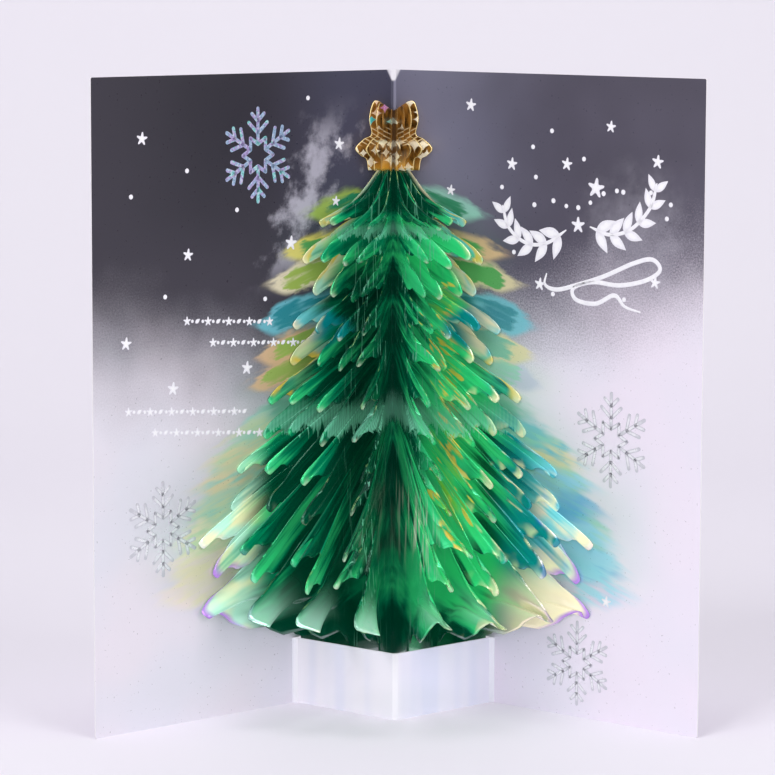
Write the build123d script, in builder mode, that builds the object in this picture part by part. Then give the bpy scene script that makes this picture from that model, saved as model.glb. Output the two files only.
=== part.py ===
from build123d import *
from math import cos, radians, sin
import os

os.makedirs("parts", exist_ok=True)

# A greeting card stands open on its lower edge. One printed sheet makes both panels, the
# narrow spine between them and the strip that pops forward at the foot. Film sheets, each
# folded once at the spine, fan out between the panels as a tree with a star on top.
# X runs along the open card, the panels open towards -Y, and Z is up. The origin is on the
# table, in the middle of the card's footprint. All lengths are in millimetres.

# card sheet
panel_width = 120.0
panel_height = 200.0
card_thickness = 0.4
open_angle = 98.0
corner_radius = 0.5

# film fan
film_thickness = 0.12
sheet_count = 7
fold_depth = 0.9

# strip cut from the foot of the card
strip_height = 21.0
strip_arm = 39.2
strip_fold_radius = 0.55

# tree outline on one half of a sheet, as reach from the fold and height. The tree's top lies
# below the card's, its top tips hang below that, and its lowest tips stand above its foot.
tree_top_margin = 32.0
neck_reach = 6.0
neck_sag = 3.0
bough_count = 12
full_bough_count = 3
side_hollow = 1.6
top_tip_reach = 36.0
top_tip_drop = 16.0
low_tip_reach = 82.0
low_tip_rise = 12.2
short_bough = 5.5
notch_depth = 15.0
notch_rise = 1.6
bough_bow = 0.9
hook_width = 1.8
foot_clearance = 0.3
foot_reach = 41.0
tuck_depth = 11.3
tuck_clearance = 1.2
skirt_reach = 46.5
skirt_rise = 4.8
skirt_notch = 20.0

# star outline on one half of a sheet, with each rise counted from the star's foot
star_clearance = 0.2
star_notch_rise = 18.8
star_top_reach = 8.0
star_top_rise = 21.4
star_lobe_bow = 1.3
star_waist_reach = 8.4
star_waist_rise = 11.5
star_side_reach = 15.2
star_side_rise = 7.2
star_side_bow = 0.6
star_foot_reach = 9.8
star_crotch_reach = 10.6
star_crotch_rise = 3.6

# The spine is as wide as the closed pile of film, so the shut card lies flat over it.
spine_width = 2 * sheet_count * film_thickness
half_open = open_angle / 2
step_angle = open_angle / sheet_count

# Across and towards the front, per length along a panel
panel_across = sin(radians(half_open))
panel_forward = cos(radians(half_open))

# The middle leaves reach a little further forward than the panels do, and the origin is in
# the middle of the whole depth.
front_reach = max(panel_width * panel_forward, low_tip_reach * cos(radians(step_angle / 2)))
spine_y = (front_reach - card_thickness) / 2


def panel_point(side, reach):
    # a point of the printed face, counted from the spine's crease along the left or right panel
    return (side * (spine_width / 2 + reach * panel_across), spine_y - reach * panel_forward)


# The strip leaves each panel at a double fold as wide as the spine. It runs to a corner
# with the same flat in front.
fold_reach = strip_arm + spine_width / panel_across
fold_x, fold_y = panel_point(1, fold_reach)
strip_front_y = fold_y - strip_arm * panel_forward

with BuildPart() as card:
    # the upper part, from panel to spine to panel
    with BuildSketch(Plane.XY.offset(strip_height)):
        with BuildLine():
            Polyline(
                panel_point(-1, panel_width),
                panel_point(-1, 0),
                panel_point(1, 0),
                panel_point(1, panel_width),
            )
            offset(amount=card_thickness, side=Side.LEFT)
        make_face()
    extrude(amount=panel_height - strip_height)
    # the foot, where the middle of the sheet stands forward as the strip
    with BuildSketch():
        with BuildLine():
            Polyline(
                panel_point(-1, panel_width),
                (-fold_x, fold_y),
                (spine_width - fold_x, fold_y),
                (-spine_width / 2, strip_front_y),
                (spine_width / 2, strip_front_y),
                (fold_x - spine_width, fold_y),
                (fold_x, fold_y),
                panel_point(1, panel_width),
            )
            offset(amount=card_thickness, side=Side.LEFT)
        make_face()
    extrude(amount=strip_height)
    # the strip's front folds are round outside
    front_folds = (
        card.edges()
        .filter_by(Axis.Z)
        .filter_by_position(Axis.X, -spine_width, spine_width)
        .group_by(Axis.Y)[0]
    )
    fillet(front_folds, radius=strip_fold_radius)
    # the card's outer corners are cut slightly round
    outer_corners = card.edges().filter_by(GeomType.LINE).filter_by(
        lambda edge: abs(edge.center().X) > panel_point(1, panel_width)[0] - card_thickness
        and edge.length < 2 * card_thickness
    )
    fillet(outer_corners, radius=corner_radius)

card.part.label = "card"
export_step(card.part, "parts/card.step")

# Line 0 lies on the left panel and the last line on the right panel. Each stands on its own
# place along the spine, so every sheet keeps its share of the spine's width.
leaf_planes = []
for line in range(sheet_count + 1):
    turn = radians(line * step_angle - half_open)
    line_x = spine_width * (line / sheet_count - 1 / 2)
    leaf_planes.append(
        Plane(
            origin=(line_x, spine_y, 0),
            x_dir=(sin(turn), -cos(turn), 0),
            z_dir=(-cos(turn), -sin(turn), 0),
        )
    )

# The halves start a film's thickness in front of the spine, where the fold joins them.
fold_start = film_thickness
tree_top = panel_height - tree_top_margin
tree_foot = strip_height + foot_clearance

# Behind the strip the leaves hang on down into its pocket, clear of the strip's inner corner.
tuck_foot = tree_foot - tuck_depth
tuck_reach = strip_arm - tuck_clearance
skirt_height = tree_foot + skirt_rise

# Tips of the boughs, from the lowest up. The lowest few have the full reach. Above them the
# reach falls in a hollow curve, and every other bough is a little shorter.
low_tip_height = tree_foot + low_tip_rise
top_tip_height = tree_top - top_tip_drop
bough_step = (top_tip_height - low_tip_height) / (bough_count - 1)
bough_tips = []
for bough in range(bough_count):
    down_share = min(1, (bough_count - 1 - bough) / (bough_count - full_bough_count))
    tip_reach = top_tip_reach + (low_tip_reach - top_tip_reach) * down_share**side_hollow
    tip_reach -= short_bough * (bough % 2)
    bough_tips.append((tip_reach, low_tip_height + bough_step * bough))

# where the underside of each bough starts, the lowest at the skirt
notches = [(low_tip_reach - skirt_notch, skirt_height)]
for tip_reach, tip_height in bough_tips[1:]:
    notches.append((tip_reach - notch_depth, tip_height + notch_rise))

with BuildSketch() as tree_outline:
    with BuildLine():
        Polyline(
            (fold_start, tree_top),
            (fold_start, tuck_foot),
            (tuck_reach, tuck_foot),
            (tuck_reach, tree_foot),
            (foot_reach, tree_foot),
            (skirt_reach, skirt_height),
            notches[0],
        )
        for bough, (tip_reach, tip_height) in enumerate(bough_tips):
            # underside, the drooping hook at the tip, then the bowed back of the bough
            hook_inside = (tip_reach - 2 * hook_width, tip_height + hook_width / 2)
            hook_end = (tip_reach - hook_width / 2, tip_height - hook_width / 2)
            tip = (tip_reach, tip_height + hook_width / 2)
            Polyline(notches[bough], hook_inside, hook_end, tip)
            if bough + 1 < bough_count:
                SagittaArc(tip, notches[bough + 1], -bough_bow)
        SagittaArc(tip, (neck_reach, tree_top), neck_sag)
        Line((neck_reach, tree_top), (fold_start, tree_top))
    make_face()

# the star stands just above the tree
star_foot = tree_top + star_clearance
star_notch = (fold_start, star_foot + star_notch_rise)
star_waist = (star_waist_reach, star_foot + star_waist_rise)
star_side = (star_side_reach, star_foot + star_side_rise)
star_crotch = (star_crotch_reach, star_foot + star_crotch_rise)

# Its top lobes rise from the notch as the leaves open to the sides, so that all of them
# together make one straight-edged notch when seen from the front.
star_outlines = []
for line in range(sheet_count + 1):
    side_share = abs(sin(radians(line * step_angle - half_open))) / panel_across
    lobe_rise = star_notch_rise + (star_top_rise - star_notch_rise) * side_share
    star_top = (star_top_reach, star_foot + lobe_rise)
    with BuildSketch() as star_outline:
        with BuildLine():
            Polyline(star_notch, (fold_start, star_foot), (star_foot_reach, star_foot), star_crotch)
            SagittaArc(star_crotch, star_side, -star_side_bow)
            SagittaArc(star_side, star_waist, -star_side_bow)
            SagittaArc(star_waist, star_top, -star_lobe_bow)
            SagittaArc(star_top, star_notch, -star_lobe_bow * side_share)
        make_face()
    star_outlines.append(star_outline.sketch)


# Every sheet is one film folded at the spine. Its halves lie back to back with those of
# the sheets beside it, and the outermost halves lie on the panels.
film_kinds = {
    "tree_sheet": ([tree_outline.sketch] * len(leaf_planes), tuck_foot, tree_top),
    "star_sheet": (star_outlines, star_foot, star_foot + star_notch_rise),
}
for film_name, (outlines, fold_foot, fold_top) in film_kinds.items():
    for sheet in range(sheet_count):
        left_plane = leaf_planes[sheet]
        right_plane = leaf_planes[sheet + 1]
        with BuildPart() as film:
            with BuildSketch(left_plane):
                add(outlines[sheet])
            extrude(amount=-film_thickness)
            with BuildSketch(right_plane):
                add(outlines[sheet + 1])
            extrude(amount=film_thickness)
            # the tight fold that joins the halves on the spine
            with BuildSketch(Plane.XY.offset(fold_foot)):
                with BuildLine():
                    Polyline(
                        tuple(left_plane.origin)[:2],
                        tuple(right_plane.origin)[:2],
                        tuple(right_plane.from_local_coords((fold_depth, 0, 0)))[:2],
                        tuple(left_plane.from_local_coords((fold_depth, 0, 0)))[:2],
                        close=True,
                    )
                make_face()
            extrude(amount=fold_top - fold_foot)
        film_label = f"{film_name}_{sheet + 1}"
        film.part.label = film_label
        export_step(film.part, f"parts/{film_label}.step")
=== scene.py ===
import random
from math import atan2, cos, exp, hypot, pi, radians, sin

import bmesh
import bpy
from mathutils import Matrix, Vector


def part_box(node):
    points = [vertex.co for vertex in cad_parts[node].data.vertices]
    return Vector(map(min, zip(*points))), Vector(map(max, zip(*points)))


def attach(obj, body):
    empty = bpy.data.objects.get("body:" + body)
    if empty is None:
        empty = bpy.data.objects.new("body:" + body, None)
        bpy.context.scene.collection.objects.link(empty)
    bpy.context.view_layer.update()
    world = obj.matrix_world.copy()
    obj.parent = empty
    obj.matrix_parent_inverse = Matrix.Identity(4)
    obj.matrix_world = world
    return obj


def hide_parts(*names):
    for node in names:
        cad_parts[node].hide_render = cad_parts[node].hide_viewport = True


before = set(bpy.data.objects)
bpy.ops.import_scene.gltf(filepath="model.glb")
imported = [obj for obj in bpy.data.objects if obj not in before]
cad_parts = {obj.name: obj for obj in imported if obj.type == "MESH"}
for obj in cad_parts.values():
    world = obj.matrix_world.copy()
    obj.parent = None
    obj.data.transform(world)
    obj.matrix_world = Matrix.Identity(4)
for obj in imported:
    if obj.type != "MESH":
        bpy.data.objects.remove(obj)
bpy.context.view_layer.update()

# Sizes are in millimetres unless a name says otherwise, and mm turns them into metres.
mm = 0.001

cardPlan = {
    "height": 200,
    "thickness": 0.4,
    "openAngle": 98,
    "spineWidth": 1.68,
    "stripHeight": 21,
    "stripArm": 39.2,
}
halfOpen = radians(cardPlan["openAngle"] / 2)
across = sin(halfOpen)      # sideways, per length along a panel
forward = cos(halfOpen)     # towards the reader, per length along a panel
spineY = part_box("card")[1][1] / mm - cardPlan["thickness"]
stripFoldX = cardPlan["spineWidth"] * 1.5 + cardPlan["stripArm"] * across


def onPanel(side, reach, height, lift):
    # a point over the printed face of the left (-1) or right (1) panel
    x = side * (cardPlan["spineWidth"] / 2 + reach * across - lift * forward)
    y = spineY - reach * forward - lift * across
    return Vector((x, y, height)) * mm


def onLeaf(line, reach, height, push):
    # a point of the fan's leaf at this line, pushed to the right by push
    turn = radians(line * treePlan["stepAngle"]) - halfOpen
    lineX = cardPlan["spineWidth"] * (line / treePlan["sheets"] - 0.5)
    x = lineX + reach * sin(turn) + push * cos(turn)
    y = spineY - reach * cos(turn) + push * sin(turn)
    return Vector((x, y, height)) * mm


def addObject(name, data):
    added = bpy.data.objects.new(name, data)
    bpy.context.collection.objects.link(added)
    return added


def newMesh():
    # an empty mesh, and its own map for the patterns that follow its form
    mesh = bmesh.new()
    return mesh, mesh.loops.layers.uv.new("flow")


def addFace(mesh, flowMap, corners):
    # each corner is a vertex with its place on the map
    face = mesh.faces.new([corner[0] for corner in corners])
    for loop, corner in zip(face.loops, corners):
        loop[flowMap].uv = corner[1:]
    return face


def addPiece(name, mesh, materials):
    data = bpy.data.meshes.new(name)
    mesh.to_mesh(data)
    mesh.free()
    for material in materials:
        data.materials.append(material)
    return addObject(name, data)


# Shader helpers


class Field:
    # a value that changes over a surface, so that a pattern reads as a formula

    def __init__(self, tree, socket):
        self.tree = tree
        self.socket = socket

    def calc(self, operation, *others):
        node = self.tree.nodes.new("ShaderNodeMath")
        node.operation = operation
        for slot, value in enumerate((self,) + others):
            plug(value, node.inputs[slot])
        return Field(self.tree, node.outputs[0])

    def __add__(self, other):
        return self.calc("ADD", other)

    def __sub__(self, other):
        return self.calc("SUBTRACT", other)

    def __mul__(self, other):
        return self.calc("MULTIPLY", other)

    def power(self, other):
        return self.calc("POWER", other)

    def absolute(self):
        return self.calc("ABSOLUTE")

    def wave(self, length, start=0):
        # runs between -1 and 1 with this length from crest to crest
        return (self * (2 * pi / length) + start).calc("SINE")

    def smooth(self, low, high):
        node = self.tree.nodes.new("ShaderNodeMapRange")
        node.interpolation_type = "SMOOTHSTEP"
        plug(self, node.inputs["Value"])
        node.inputs["From Min"].default_value = low
        node.inputs["From Max"].default_value = high
        return Field(self.tree, node.outputs[0])

    def near(self, centre, width):
        # 1 at the centre, falling softly to 0 at this distance from it
        return (self - centre).absolute().smooth(width, 0)

    def into(self, other, factor):
        # this colour turned into another one by a factor of 0 to 1
        return mixColour(factor, self, other)


def plug(value, socket):
    if isinstance(value, Field):
        value.tree.links.new(value.socket, socket)
    else:
        socket.default_value = value


def colour(red, green, blue):
    # a screen colour of 0 to 255, as the shader's own light values
    parts = []
    for part in (red, green, blue):
        share = part / 255
        parts.append(share / 12.92 if share < 0.04045 else ((share + 0.055) / 1.055) ** 2.4)
    return (*parts, 1)


def mixColour(factor, first, second):
    node = factor.tree.nodes.new("ShaderNodeMix")
    node.data_type = "RGBA"
    plug(factor, node.inputs[0])
    plug(first, node.inputs[6])
    plug(second, node.inputs[7])
    return Field(factor.tree, node.outputs[2])


def places(tree):
    # x, y and z on the object in millimetres
    coordinates = tree.nodes.new("ShaderNodeTexCoord")
    parts = tree.nodes.new("ShaderNodeSeparateXYZ")
    tree.links.new(coordinates.outputs["Object"], parts.inputs[0])
    return [Field(tree, parts.outputs[axis]) * (1 / mm) for axis in range(3)]


def vector(x, y, z):
    tree = next(part.tree for part in (x, y, z) if isinstance(part, Field))
    node = tree.nodes.new("ShaderNodeCombineXYZ")
    for slot, value in enumerate((x, y, z)):
        plug(value, node.inputs[slot])
    return Field(tree, node.outputs[0])


def mottle(where, size, detail=2, rough=0.5):
    # soft noise with lumps of about this size
    node = where.tree.nodes.new("ShaderNodeTexNoise")
    node.inputs["Scale"].default_value = 1 / size
    node.inputs["Detail"].default_value = detail
    node.inputs["Roughness"].default_value = rough
    plug(where, node.inputs["Vector"])
    return Field(where.tree, node.outputs["Fac"])


def flow(tree):
    # the two directions of a piece's own map
    node = tree.nodes.new("ShaderNodeUVMap")
    node.uv_map = "flow"
    parts = tree.nodes.new("ShaderNodeSeparateXYZ")
    tree.links.new(node.outputs[0], parts.inputs[0])
    return Field(tree, parts.outputs[0]), Field(tree, parts.outputs[1])


def forRays(tree, kind, shape, ink):
    # rays of this kind meet a plainer shader in this colour, which spares time in the render
    rays = tree.nodes.new("ShaderNodeLightPath")
    plain = tree.nodes.new(shape)
    plug(ink, plain.inputs["Color"])
    pick = tree.nodes.new("ShaderNodeMixShader")
    surface = tree.nodes["Material Output"].inputs["Surface"]
    tree.links.new(rays.outputs[kind], pick.inputs[0])
    tree.links.new(surface.links[0].from_socket, pick.inputs[1])
    tree.links.new(plain.outputs[0], pick.inputs[2])
    tree.links.new(pick.outputs[0], surface)


def newMaterial(name):
    material = bpy.data.materials.new(name)
    material.use_nodes = True
    shader = material.node_tree.nodes["Principled BSDF"]
    return material, material.node_tree, shader


def setShader(shader, values):
    for name, value in values.items():
        plug(value, shader.inputs[name])


def useBump(shader, height, strength, distance):
    tree = height.tree
    node = tree.nodes.new("ShaderNodeBump")
    node.inputs["Strength"].default_value = strength
    node.inputs["Distance"].default_value = distance * mm
    plug(height, node.inputs["Height"])
    tree.links.new(node.outputs[0], shader.inputs["Normal"])


def sprayGroup():
    # fine speckle as a spray of ink leaves it, from -1 to 1
    group = bpy.data.node_groups.new("inkSpray", "ShaderNodeTree")
    group.interface.new_socket("Vector", in_out="INPUT", socket_type="NodeSocketVector")
    group.interface.new_socket("Speck", in_out="INPUT", socket_type="NodeSocketFloat")
    group.interface.new_socket("Spray", in_out="OUTPUT", socket_type="NodeSocketFloat")
    inside = group.nodes.new("NodeGroupInput")
    outside = group.nodes.new("NodeGroupOutput")
    total = None
    for share, weight in ((1, 0.6), (0.4, 0.4)):
        node = group.nodes.new("ShaderNodeTexNoise")
        node.inputs["Detail"].default_value = 1
        group.links.new(inside.outputs["Vector"], node.inputs["Vector"])
        scale = Field(group, inside.outputs["Speck"]).power(-1) * (1 / share)
        plug(scale, node.inputs["Scale"])
        layer = (Field(group, node.outputs["Fac"]) - 0.5) * (4 * weight)
        total = layer if total is None else total + layer
    plug(total, outside.inputs["Spray"])
    return group


def spray(where, speck):
    node = where.tree.nodes.new("ShaderNodeGroup")
    node.node_tree = inkSpray
    plug(where, node.inputs["Vector"])
    node.inputs["Speck"].default_value = speck
    return Field(where.tree, node.outputs["Spray"])


inkSpray = sprayGroup()


# The print on the card

printPlan = {
    "darkSky": colour(62, 59, 69),
    "deepSky": colour(54, 52, 61),
    "rightSky": colour(96, 92, 108),
    "highSky": colour(132, 131, 151),
    "leftGlow": colour(82, 82, 102),
    "cloud": colour(206, 203, 216),
    "leftPale": colour(236, 230, 238),
    "leftTint": colour(230, 229, 238),
    "rightPale": colour(246, 237, 250),
    "rightTint": colour(240, 236, 248),
    "outside": colour(238, 235, 238),
    "strip": colour(252, 251, 255),
    "stripShade": colour(234, 238, 253),
    "scuff": colour(240, 238, 244),
    "speck": 0.55,
    "leftFade": (89, 0.22, 20),     # height at the spine, rise with reach, half the fade
    "rightFade": (106, 0.26, 17),
}

# Painted boughs behind the film: reach and height of the tip, half the thickness, the drop per
# reach, then ink and streaks for the left panel and for the right one. The streak ink also
# tints the tips. Above the crisp height the edges are sharp.
paintCrisp = 100
paintInks = {
    "blush": colour(253, 236, 224),
    "cream": colour(252, 240, 204),
    "wheat": colour(242, 230, 182),
    "gold": colour(250, 234, 116),
    "apricot": colour(244, 202, 156),
    "lime": colour(178, 206, 92),
    "leaf": colour(96, 184, 96),
    "sage": colour(206, 230, 190),
    "foam": colour(168, 226, 208),
    "mist": colour(132, 206, 180),
    "jade": colour(40, 156, 106),
    "teal": colour(44, 158, 172),
    "aqua": colour(122, 208, 224),
    "sky": colour(160, 226, 247),
    "azure": colour(106, 192, 232),
    "lilac": colour(218, 218, 242),
}
paintedBoughs = [
    (97, 39, 6.5, 0.24, "blush", "cream", "sky", "lilac"),
    (95, 47, 6.5, 0.26, "cream", "blush", "sky", "azure"),
    (91, 55, 6, 0.28, "sage", "cream", "sky", "foam"),
    (86, 63.5, 5.5, 0.30, "foam", "sage", "azure", "aqua"),
    (84, 71.5, 4.5, 0.26, "wheat", "foam", "foam", "sky"),
    (79, 78.5, 4.5, 0.26, "sage", "wheat", "wheat", "aqua"),
    (68.5, 86, 4.5, 0.20, "foam", "sage", "aqua", "foam"),
    (58, 94, 4, 0.14, "mist", "foam", "mist", "foam"),
    (59.5, 103, 4.2, 0.12, "lime", "apricot", "foam", "lilac"),
    (56, 111.5, 4.2, 0.10, "lime", "apricot", "mist", "wheat"),
    (56.5, 121.5, 4.6, 0.07, "teal", "aqua", "teal", "aqua"),
    (51, 134, 3.8, 0.05, "lime", "cream", "leaf", "wheat"),
    (45, 143, 3.4, 0.05, "leaf", "gold", "leaf", "apricot"),
    (36, 155, 3.4, 0.08, "jade", "lime", "jade", "foam"),
]


def cardMaterial():
    material, tree, shader = newMaterial("printedCard")
    x, y, height = places(tree)
    where = vector(x, y, height)
    right = x.calc("GREATER_THAN", 0)
    reach = (x.absolute() - cardPlan["spineWidth"] / 2) * (1 / across)
    onFace = vector(reach * (right * 2 - 1), height, 0)

    # the sky fades to pale through a spray of specks
    fades = []
    for base, rise, half in (printPlan["leftFade"], printPlan["rightFade"]):
        fades.append((height - base - reach * rise) * (1 / half))
    fade = fades[0] + (fades[1] - fades[0]) * right
    specks = spray(onFace, printPlan["speck"])
    drift = mottle(onFace, 26, 2) - 0.5
    sky = (fade + specks * (right * 0.35 + 0.2) + drift * 1.2).smooth(-1.25, 1.5)

    # the ground of the print
    nearSpine = reach.smooth(74, 6) * right * height.smooth(110, 170)
    smoke = mottle(onFace, 30, 2)
    left = right * -1 + 1
    deepest = reach.near(74, 46) * height.smooth(135, 165) * (smoke + 0.5)
    night = mixColour(deepest, printPlan["darkSky"], printPlan["deepSky"])
    dark = mixColour(right * (smoke * 0.8 + 0.35), night, printPlan["rightSky"])
    dark = mixColour(nearSpine * (smoke * 0.6 + 0.7), dark, printPlan["highSky"])
    dark = mixColour(reach.smooth(56, 16) * left * 0.8, dark, printPlan["leftGlow"])
    tint = mottle(onFace, 40, 1).smooth(0.35, 0.65)
    palest = mixColour(right, printPlan["leftPale"], printPlan["rightPale"])
    pale = mixColour(tint, palest, mixColour(right, printPlan["leftTint"], printPlan["rightTint"]))
    ink = mixColour(sky, pale, dark)

    # a plume of cloud on the left, thin at its ends, and thin cloud at the right
    puffs = mottle(onFace, 9, 4, 0.62)
    plumeLine = (height * -0.42 + 102 - reach).absolute()
    tail = height.near(161, 36).smooth(0, 0.7)
    wisps = mottle(vector(reach + height * 0.3, height * 0.35, 4), 4, 3)
    thick = puffs * 2.6 + wisps * 0.6 - plumeLine * 0.05 - 0.9 + specks * 0.05
    plume = thick.smooth(0.1, 0.95) * tail * left
    haze = (puffs * reach.near(96, 40) * height.near(150, 40)).smooth(0.1, 0.6) * right * 0.3
    ink = ink.into(printPlan["cloud"], plume * 0.85 + haze)

    # boughs painted with a soft wet edge and streaked along their length
    streaks = mottle(vector(reach * 0.16, height + reach * 0.3, right * 9), 2.6, 2)
    brush = mottle(vector(reach * 0.25, height + reach * 0.3, right * 9), 2.8, 2) - 0.5
    wander = mottle(onFace, 14, 2) - 0.5
    fringe = mottle(vector(reach * 0.4, height + reach * 0.12, right * 5), 1.1, 3, 0.7) - 0.5
    softLine = wander * 6 + brush * 3.5 - height
    softReach = brush * 9 - reach
    crispLine = wander * 3.5 + brush * 2.5 - height
    crispReach = brush * 8 + fringe * 5 - reach
    strokes = streaks + wander * 0.6
    for tipReach, tipHeight, half, drop, *inks in paintedBoughs:
        leftInk, leftStreak, rightInk, rightStreak = [paintInks[name] for name in inks]
        wash = mixColour(right, leftInk, rightInk)
        streak = mixColour(right, leftStreak, rightStreak)
        if tipHeight > paintCrisp:
            inward = crispReach + tipReach
            line = (inward * drop + crispLine + inward.smooth(0, 22) * 2.2 + tipHeight).absolute()
            inner = inward.smooth(-2, 10) * half - line - fringe * 1.6
            touch = inner.smooth(-1.6, 1) * inward.smooth(-4, 4) * 0.86
            tip = inward.smooth(11, 2) * 0.5 + inner.smooth(1.7, 0.2) * 0.35
            streakShare = (strokes + tip).smooth(0.52, 0.78)
        else:
            inward = softReach + tipReach
            line = (inward * drop + softLine + tipHeight).absolute()
            inner = inward.smooth(-2, 18) * half - line
            touch = inner.smooth(-3.2, 1.6) * inward.smooth(-4, 12) * 0.88
            streakShare = strokes.smooth(0.4, 0.66)
        ink = ink.into(mixColour(streakShare, wash, streak), touch)

    # the strip, with painted reflection in soft upright bands as a mirror face shows, and the bare
    # outside
    isStrip = x.absolute().calc("LESS_THAN", stripFoldX)
    isStrip = isStrip * height.calc("LESS_THAN", cardPlan["stripHeight"])
    sheen = mottle(vector(x, 0, height * 0.06), 7, 1)
    stripShade = sheen.smooth(0.42, 0.7) * 0.7 + x.smooth(0, 3) * 0.5
    stripInk = mixColour(stripShade, printPlan["strip"], printPlan["stripShade"])
    ink = ink.into(stripInk, isStrip)
    facing = tree.nodes.new("ShaderNodeSeparateXYZ")
    tree.links.new(tree.nodes["Texture Coordinate"].outputs["Normal"], facing.inputs[0])
    facingX = Field(tree, facing.outputs[0])
    facingY = Field(tree, facing.outputs[1])
    inward = (facingX * (right * 2 - 1)).calc("LESS_THAN", 0.3)
    inside = facingY.calc("LESS_THAN", -0.3) * inward.calc("MAXIMUM", isStrip)
    ink = mixColour(inside, printPlan["outside"], ink)

    # a scuff in the print at the top of the spine
    scuff = ((height - cardPlan["height"]) * 0.45 + 2.2 - x.absolute()).smooth(-0.3, 0.5)
    scuff = scuff * height.smooth(196, 197)
    ink = ink.into(printPlan["scuff"], scuff * inside)

    fibre = mottle(where, 0.9, 2)
    setShader(shader, {
        "Base Color": ink,
        "Roughness": inside * -0.26 + isStrip * inside * -0.12 + fibre * 0.12 + 0.5,
        "Metallic": inside * (isStrip * 0.1 + 0.3),
    })
    useBump(shader, fibre, 0.05, 0.2)
    plainInk = mixColour(fade.smooth(-1.25, 1.5), printPlan["rightPale"], printPlan["rightSky"])
    forRays(tree, "Is Diffuse Ray", "ShaderNodeBsdfDiffuse", plainInk)
    return material


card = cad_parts["card"]
card.data.materials.clear()
card.data.materials.append(cardMaterial())
print("stage: card print")

# The fan of film sheets. The first plan says how the strands of every leaf bend, for tree and
# star alike.

bladePlan = {
    "crowding": 1.35,        # points crowd towards the tips
    "bowGrowth": 1.6,        # how late along the strand the bow sets in, and likewise the others
    "flareGrowth": 4,
    "openGrowth": 5,
    "curlGrowth": 6,
    "swayGrowth": 2,
    "pleatGrowth": 1.2,
    "hookWidth": 0.12,
    "flareAt": 0.45,
    "swayStep": 0.9,         # turn of the sway from bough to bough
    "pleatShift": 0.3,
    "laidShare": 0.3,        # what a leaf on its panel keeps of the bend
    "phase": 0.12,
    "lift": (0.55, 1.35),
}

treePlan = {
    "sheets": 7,
    "stepAngle": cardPlan["openAngle"] / 7,
    "film": 0.12,
    "foldStart": 0.12,
    "foot": 21.3,
    "tuckFoot": 10,
    "tuckReach": 38,
    "top": 168,
    "neckReach": 6,
    "neckSag": 3,
    "boughs": 12,
    "fullBoughs": 3,
    "sideHollow": 1.6,
    "lowTip": (82, 33.5),
    "topTip": (36, 152),
    "shortBough": 5.5,
    "notchDepth": 15,
    "notchRise": 1.6,
    "footCorner": (41, 21.3),
    "skirtCorner": (46.5, 26.1),
    "skirtNotch": 20,
    "backBow": 1.1,
    "finger": 0.9,
    "opening": 0.12,       # how far the leaf's edge stands off its neighbour
    "wave": 0.9,           # how far each bough bows
    "sway": 2,             # how far a whole leaf bends
    "flare": 8.5,          # how far the middle leaves' blades turn outwards
    "flareWidth": 0.34,
    "highFlare": 1.3,      # how much more the highest blades turn than the lowest
    "rootRise": (0.58, 0.036),     # of the roots over the notches per reach, and less per bough
    "pleat": 0.12,         # how deep the fine pleats along the boughs are
    "pleats": 3,           # and how many each bough has
    "tipCurl": 1.1,
    "lowCurl": (9, 4),     # how much the lowest tips of left and right leaves curl to the right
    "lineShift": 1.6,      # how far the tips of one leaf stand above or below its neighbour's
    "tipSpread": 4,        # how unevenly the tips are cut
    "hookAt": 0.42,        # where on a bough's edge its hook is
    "hook": [(-3.6, 1), (-2.5, -0.7), (-1.3, -1.1), (-0.2, -0.2), (-0.1, 1.2)],     # round the tip
    "underside": [(0.45, -0.7), (0.62, 0.3)],     # share of the way from notch to hook, and rise
    "sweep": 4,            # how far the blades arch upwards
    "tucks": True,         # the foot hangs on down behind the strip
    "longReach": 82,
    "tuckStep": 8,
    "seed": 11,
    "edgeSamples": 30,
    "reachSamples": 16,
}


def boughTips():
    count, full = treePlan["boughs"], treePlan["fullBoughs"]
    lowReach, lowHeight = treePlan["lowTip"]
    topReach, topHeight = treePlan["topTip"]
    tips = []
    for bough in range(count):
        share = min(1, (count - 1 - bough) / (count - full))
        reach = topReach + (lowReach - topReach) * share ** treePlan["sideHollow"]
        reach -= treePlan["shortBough"] * (bough % 2)
        tips.append((reach, lowHeight + (topHeight - lowHeight) / (count - 1) * bough))
    return tips


def between(first, second, share, rise=0):
    # the point at this share of the way from the first to the second, lifted by rise
    return (first[0] + (second[0] - first[0]) * share,
            first[1] + (second[1] - first[1]) * share + rise)


def smoothLine(points, samples):
    # evenly shared samples of a smooth line through the points
    before, after = between(points[0], points[1], -1), between(points[-1], points[-2], -1)
    ends = [before, *points, after]
    spans = len(points) - 1
    line = []
    for sample in range(samples + 1):
        place = min(sample / samples * spans, spans - 1e-6)
        span = int(place)
        t = place - span
        a, b, c, d = ends[span:span + 4]
        line.append(tuple(
            0.5 * (2 * b[k] + (c[k] - a[k]) * t + (2 * a[k] - 5 * b[k] + 4 * c[k] - d[k]) * t ** 2
                   + (3 * b[k] - a[k] - 3 * c[k] + d[k]) * t ** 3)
            for k in (0, 1)))
    return line


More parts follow.
